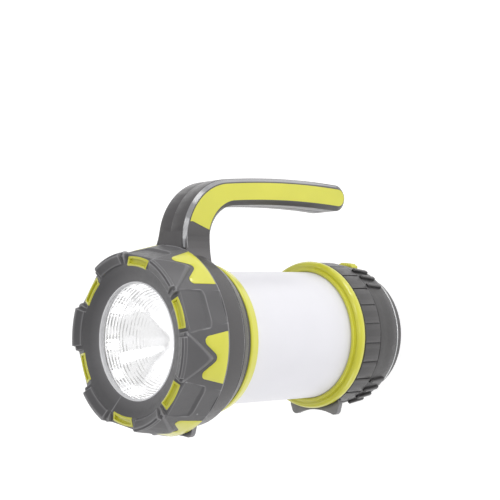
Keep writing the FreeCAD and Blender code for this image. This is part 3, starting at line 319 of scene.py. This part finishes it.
def soft_corners(corners):
    """Rounds an outline: each corner is a radius, a height and how much of it is rounded off."""
    path = []
    count = len(corners)
    for index, corner in enumerate(corners):
        here = Vector(corner[:2])
        size = corner[2] if len(corner) > 2 else 0.0
        if size <= 0:
            path.append(here)
            continue
        before = Vector(corners[index - 1][:2]) - here
        after = Vector(corners[(index + 1) % count][:2]) - here
        reach = min(size, before.length * 0.48, after.length * 0.48)
        start = here + before.normalized() * reach
        end = here + after.normalized() * reach
        for step in range(7):
            blend = step / 6
            path.append(start * (1 - blend) ** 2 + here * 2 * blend * (1 - blend) + end * blend ** 2)
    return path


def lathe(name, corners, finish, nodes):
    """A piece turned about the lantern's axis."""
    path = soft_corners(corners)
    points = []
    for step in range(LATHE_STEPS):
        turn = 2 * math.pi * step / LATHE_STEPS
        points += [(p.x * math.cos(turn), p.x * math.sin(turn), p.y) for p in path]
    put(name, points, ring_faces(LATHE_STEPS, len(path)), finish, "lantern", nodes)


add_camera()
add_light()
add_floor()
FINISH = make_finishes()
SLOTS = {}
for entry in frame["record"]["subparts"]:
    SLOTS[entry["node"]] = entry["material_slot"]


def dress(node, bevel, finish):
    """Gives a kept CAD node its finish, and softens its edges."""
    thing = frame["nodes"][node]
    thing.data.materials.clear()
    thing.data.materials.append(FINISH[finish])
    if bevel:
        weld = thing.modifiers.new("weld", "WELD")
        weld.merge_threshold = 0.00001
        edge = thing.modifiers.new("edge", "BEVEL")
        edge.width = bevel * MM
        edge.segments = 2
        edge.limit_method = "ANGLE"
        edge.angle_limit = math.radians(28)
        edge.harden_normals = True


replaced = set()


def turned_piece(name, corners):
    """Replaces one CAD node by a turned piece with rounded edges."""
    replaced.add(name)
    lathe("soft_" + name, corners, FINISH[SLOTS[name]], [name])


def make_rings():
    """The lime rings, the shade tube, the stepped collar and the trim round the lens."""
    turned_piece("rear_ring", [
        (36.0, 41.7), (45.1, 41.7, 0.8), (46.0, 43.5, 1.2), (46.0, 45.0, 2.0), (45.1, 46.8, 1.2),
        (43.8, 47.6, 0.8), (42.5, 47.2, 0.3), (41.9, 47.2, 0.3), (41.9, 49.0, 0.5), (40.6, 49.2, 0.6),
        (39.6, 48.6, 0.3), (39.6, 45.2), (36.0, 45.2)])
    turned_piece("front_ring", [
        (39.6, 129.6, 0.3), (43.0, 129.6, 0.8), (43.6, 130.6, 0.8), (45.0, 135.6, 1.2), (44.6, 137.0, 0.5),
        (36.0, 137.0), (36.0, 132.6), (39.6, 132.6)])
    turned_piece("lamp_shade", [(37.5, 46.4), (39.3, 46.4), (39.3, 131.4), (37.5, 131.4)])
    turned_piece("head_collar", [
        (21.0, 137.2), (44.4, 137.2, 0.4), (44.4, 140.0, 0.4), (46.4, 140.4, 0.6), (49.4, 146.2, 0.8),
        (48.4, 146.4, 0.2), (48.4, 147.2, 0.2), (50.3, 147.4, 0.6), (51.0, 161.0, 0.6), (47.0, 161.0),
        (47.0, 176.5, 0.4), (35.2, 176.5, 0.4), (35.2, 174.5), (45.0, 170.5), (45.0, 149.4),
        (42.4, 142.4), (42.4, 139.4), (21.0, 139.4)])
    turned_piece("lens_trim", [
        (32.4, 181.3, 0.2), (33.6, 181.3), (33.6, 184.0, 0.2), (32.9, 184.2, 0.3), (32.4, 183.6, 0.2)])


def smooth_step(value, low, high):
    """Rises smoothly from 0 at low to 1 at high."""
    part = min(1.0, max(0.0, (value - low) / (high - low)))
    return part * part * (3 - 2 * part)


def blend_low(first, second, reach):
    """The lower of two values, rounded where they cross."""
    gap = max(reach - abs(first - second), 0.0) / reach
    return min(first, second) - gap * gap * reach / 4


def blend_high(first, second, reach):
    """The higher of two values, rounded where they cross."""
    return -blend_low(-first, -second, reach)


def cone_radius(height):
    """Radius of the cap's sloping outside."""
    return 54.6 - (height - 162.8) * 5.2 / 26.4


def window_offset(degrees):
    """Angle from the nearest window's middle."""
    return (degrees - CAP_TURN + PITCH / 2) % PITCH - PITCH / 2


def cap_outside(degrees, height):
    """Radius of the cap's outside: the cone, a flat stepped panel, or a tooth standing on it."""
    cone = cone_radius(height)
    turn = window_offset(degrees)
    spread = math.radians(turn)
    across = abs(cone * math.sin(spread))
    front = (48.3 + (186.4 - height) * 0.175) / math.cos(spread)
    rear = (51.85 + (174.4 - height) * 0.150) / math.cos(spread)
    step = min(1.0, max(0.0, (height - 172.7) / 2.0))
    panel = rear + (front - rear) * step
    side = 12.9 - (190.4 - height) * 0.134
    inside = smooth_step(side - across, -0.4, 0.5)
    radius = cone + (blend_low(panel, cone, 0.3) - cone) * inside
    tooth_turn = math.radians(30 - abs(turn))
    lateral = abs(cone * math.sin(tooth_turn))
    edge = (height - 171.9) * 13.2 / 16.7
    inward = (edge - math.hypot(lateral, 1.2) + 1.2) * 0.78
    plateau = 0.7 + (189.6 - height) * 0.115
    rise = blend_low(plateau, inward * 1.2 - 0.1, 1.5)
    return blend_high(radius, cone + rise, 0.25)


def cap_front(degrees):
    """The cap's front edge and face as an outline, for one angle."""
    turn = window_offset(degrees)
    edge = 48.3 / math.cos(math.radians(turn))
    tooth = [(50.4, 189.3), (49.9, 191.2), (48.6, 191.8), (43.7, 189.5), (43.0, 188.4), (41.4, 187.6)]
    blank = [(49.4, 189.1), (48.9, 189.5), (48.2, 189.8), (43.7, 188.6), (43.0, 188.4), (41.4, 187.6)]
    window = [(edge, 186.4), (edge - 0.4, 187.0), (edge - 1.0, 187.3), (43.7, 188.3), (43.0, 188.4),
              (41.4, 187.6)]
    in_tooth = 1 - smooth_step(30 - abs(turn), 12.9, 13.8)
    in_window = 1 - smooth_step(abs(turn), 13.0, 13.9)
    corners = []
    for nose, plain, gap in zip(tooth, blank, window):
        radius = plain[0] + (nose[0] - plain[0]) * in_tooth + (gap[0] - plain[0]) * in_window
        height = plain[1] + (nose[1] - plain[1]) * in_tooth + (gap[1] - plain[1]) * in_window
        corners.append((radius, height))
    return corners


def filled(corners, steps):
    """Points along an outline, with the same number on each side."""
    path = []
    for start, end in zip(corners, corners[1:]):
        for step in range(steps):
            blend = step / steps
            path.append((start[0] + (end[0] - start[0]) * blend, start[1] + (end[1] - start[1]) * blend))
    path.append(corners[-1])
    return path


def patch(name, spot, outside, inside, finish, body, nodes):
    """A closed piece of tube wall whose outside follows a relief, over some angles and heights."""
    middle, half, low, high = spot
    steps = 72
    rows = 30
    points = []
    for surface in (outside, inside):
        for step in range(steps + 1):
            degrees = middle - half + 2 * half * step / steps
            turn = math.radians(degrees)
            for row in range(rows + 1):
                height = low + (high - low) * row / rows
                radius = surface(degrees - middle, height)
                points.append((radius * math.cos(turn), radius * math.sin(turn), height))
    line = rows + 1
    layer = (steps + 1) * line
    faces = []
    for step in range(steps):
        for row in range(rows):
            corner = step * line + row
            faces.append((corner, corner + line, corner + line + 1, corner + 1))
            inner = corner + layer
            faces.append((inner, inner + 1, inner + line + 1, inner + line))
        for row in (0, rows):
            corner = step * line + row
            side = (corner, corner + layer, corner + layer + line, corner + line)
            faces.append(side if row == 0 else side[::-1])
    for step in (0, steps):
        for row in range(rows):
            corner = step * line + row
            side = (corner, corner + 1, corner + layer + 1, corner + layer)
            faces.append(side if step == 0 else side[::-1])
    replaced.update(nodes)
    put(name, points, faces, finish, body, nodes, 50)


def make_mode_button():
    """The key's ribs run along the lantern; its rim is rounded over."""
    low, high, half = 9.8, 15.6, 7.5

    def outside(degrees, height):
        across = math.radians(degrees) * BUTTON_RADIUS
        to_edge = min(height - low, high - height, math.radians(half) * BUTTON_RADIUS - abs(across))
        rim = smooth_step(to_edge, -0.2, 0.7)
        rib = smooth_step(math.cos(across * 2 * math.pi / 1.95), -0.4, 0.5)
        return 44.0 + 0.6 * rim + 0.8 * rib * smooth_step(to_edge, 0.2, 0.7)

    patch("ribbed_mode_button", (-8.0, half, low, high), outside, lambda degrees, height: 42.4,
          FINISH["lime_gloss"], "mode_button", ["mode_button"])


def arc_through(start, middle, end, steps):
    """Points of the circle through three points of a plane, from the first to the last."""
    a, b, c = (Vector(corner) for corner in (start, middle, end))
    scale = 2 * (a.x * (b.y - c.y) + b.x * (c.y - a.y) + c.x * (a.y - b.y))
    squares = [corner.length_squared for corner in (a, b, c)]
    centre = Vector((
        (squares[0] * (b.y - c.y) + squares[1] * (c.y - a.y) + squares[2] * (a.y - b.y)) / scale,
        (squares[0] * (c.x - b.x) + squares[1] * (a.x - c.x) + squares[2] * (b.x - a.x)) / scale))
    first = a - centre
    sweep = first.angle_signed(c - centre)
    half_sweep = first.angle_signed(b - centre)
    if half_sweep * sweep < 0:
        sweep -= math.copysign(2 * math.pi, sweep)
    path = []
    for step in range(steps + 1):
        spoke = first.copy()
        spoke.rotate(Matrix.Rotation(-sweep * step / steps, 2))
        path.append(centre + spoke)
    return path


def make_handle_highlight_strips():
    """A pale glossy strip along the bevel of each side of the handle, from the root to the free end: a
    painted highlight.
    """
    path = [Vector((x, 159.6 - 0.183 * (x - 44.0))) for x in (52.5, 54.5, 56.5, 58.5, 60.5)]
    path += arc_through((62.0, 156.3), (82.9, 145.2), (93.2, 124.0), 24)
    path += arc_through((93.2, 124.0), (95.6, 82.0), (94.2, 27.0), 30)[1:]
    for side, label in ((-1, "right"), (1, "left")):
        points = []
        for index, place in enumerate(path):
            ahead = path[min(index + 1, len(path) - 1)] - path[max(index - 1, 0)]
            inward = Vector((-ahead.y, ahead.x)).normalized()
            if inward.dot(Vector((60, 80)) - place) < 0:
                inward = -inward
            narrow = 0.25 + 0.5 * smooth_step(index, len(path) - 12, len(path) - 1)
            far = BEVEL_DEPTH - narrow
            flare = FLARE * max(0.0, (FLARE_START - place.x) / FLARE_LENGTH) ** 2
            for depth, lift in ((narrow, 0.0), (narrow + 0.15, 0.16), (far, 0.16), (far + 0.1, 0.0),
                                (far, -0.4), (narrow, -0.4)):
                centre = place + inward * (depth - lift * 0.7)
                points.append((centre.x, side * (10.0 + flare + depth + lift * 0.7), centre.y))
        faces = []
        count = 6
        for index in range(len(path) - 1):
            for corner in range(count):
                following = (corner + 1) % count
                first = index * count
                faces.append((first + corner, first + count + corner, first + count + following,
                              first + following))
        last = (len(path) - 1) * count
        faces += [tuple(range(count)), tuple(reversed(range(last, last + count)))]
        if side > 0:
            faces = [tuple(reversed(face)) for face in faces]
        # Each strip is a painted highlight laid along the bevel.
        put("handle_%s_strip" % label, points, faces, FINISH["painted_bevel_highlight"], "lantern",
            [], 30)


def make_reflector():
    """A parabolic bowl with faint radial and ring-shaped facets."""
    throat, rim, low, high = 6.0, 33.6, 141.6, 178.0
    stretch = (rim ** 2 - throat ** 2) / (high - low)
    turns, rows = 384, 140
    points = []
    for index in range(turns):
        turn = 2 * math.pi * index / turns
        radial = 0.06 * abs(math.sin(32 * turn))
        for row in range(rows + 1):
            height = low + (high - low) * row / rows
            radius = math.sqrt(throat ** 2 + stretch * (height - low))
            ring = 0.16 * (row % 7) / 7
            radius += (radial + ring) * smooth_step(row, 10, 60) * (1 - smooth_step(row, rows - 4, rows))
            points.append((radius * math.cos(turn), radius * math.sin(turn), height))
        for radius, height in ((36.4, 178.0), (36.4, 176.7), (34.8, 176.7), (7.4, 140.5), (6.2, 140.5)):
            points.append((radius * math.cos(turn), radius * math.sin(turn), height))
    faces = [(near, near_next, far_next, far)
             for near, far, far_next, near_next in ring_faces(turns, len(points) // turns)]
    replaced.add("reflector")
    put("faceted_reflector", points, faces, FINISH["reflector_chrome"], "lantern",
        ["reflector"], 20)


def make_highlight_beads():
    """Painted highlights: thin pale rings where the base cap meets the grip and where the collar steps
    out.
    """
    lathe("base_rim_highlight", [(38.2, 6.2), (41.0, 6.2, 0.3), (41.2, 7.2, 0.25), (40.4, 7.5, 0.1), (38.2, 7.5)],
          FINISH["painted_highlight_bead"], [])
    lathe("collar_highlight", [(47.6, 146.3), (49.1, 146.3, 0.15), (49.3, 146.7, 0.15), (49.1, 147.1, 0.15),
                          (47.6, 147.1)], FINISH["painted_highlight_bead"], [])


def make_head_cap():
    """The cap: one outline for each small turn, down its outside, over its front and back inside."""
    sides = 76
    points = []
    for index in range(CAP_STEPS):
        degrees = 360 * index / CAP_STEPS
        front = filled(cap_front(degrees), 7)
        turn = abs(window_offset(degrees))
        sunk = []
        for radius, height in front:
            under = smooth_step(radius, 42.5, 43.1) * (1 - smooth_step(radius, 46.7, 47.3))
            height -= 2.1 * under * (1 - smooth_step(turn, 9.6, 10.4))
            sunk.append((radius, height))
        path = [(47.4, 161.2), (52.4, 161.2), (53.0, 161.4), (54.2, 162.3)]
        top = front[0][1]
        for step in range(sides):
            height = 162.8 + (top - 0.4 - 162.8) * step / (sides - 1)
            path.append((cap_outside(degrees, height) - 0.15 * (step == 0), height))
        path += sunk
        path += [(34.1, 184.2), (33.8, 184.05), (33.7, 183.7), (33.7, 182.0), (36.7, 182.0),
                 (36.7, 176.65), (47.4, 176.65)]
        cosine = math.cos(math.radians(degrees))
        sine = math.sin(math.radians(degrees))
        points += [(radius * cosine, radius * sine, height) for radius, height in path]
    faces = ring_faces(CAP_STEPS, len(points) // CAP_STEPS)
    replaced.add("head_cap")
    put("moulded_head_cap", points, faces, FINISH["dark_overmould"], "lantern",
        ["head_cap"], 60)


make_head_cap()
make_mode_button()
make_handle_highlight_strips()
make_highlight_beads()
make_reflector()
make_rings()
BEVELS = {"base_grip": 0.5, "base_housing": 0.3, "base_plate": 0.6,
          "port_cover": 0.4, "rear_foot": 0.5, "front_foot": 0.5, "handle_left_half": 0.5,
          "handle_right_half": 0.5}
for accent in range(1, 7):
    BEVELS["head_accent_%d" % accent] = 0.15
    BEVELS["rim_insert_%d" % accent] = 0.2
SPECIAL = {"base_plate": "dark_base", "base_grip": "dark_base", "base_housing": "dark_base",
           "torch_led": "lit_led"}
for node in SLOTS:
    if node not in replaced:
        dress(node, BEVELS.get(node, 0.0), SPECIAL.get(node, SLOTS[node]))
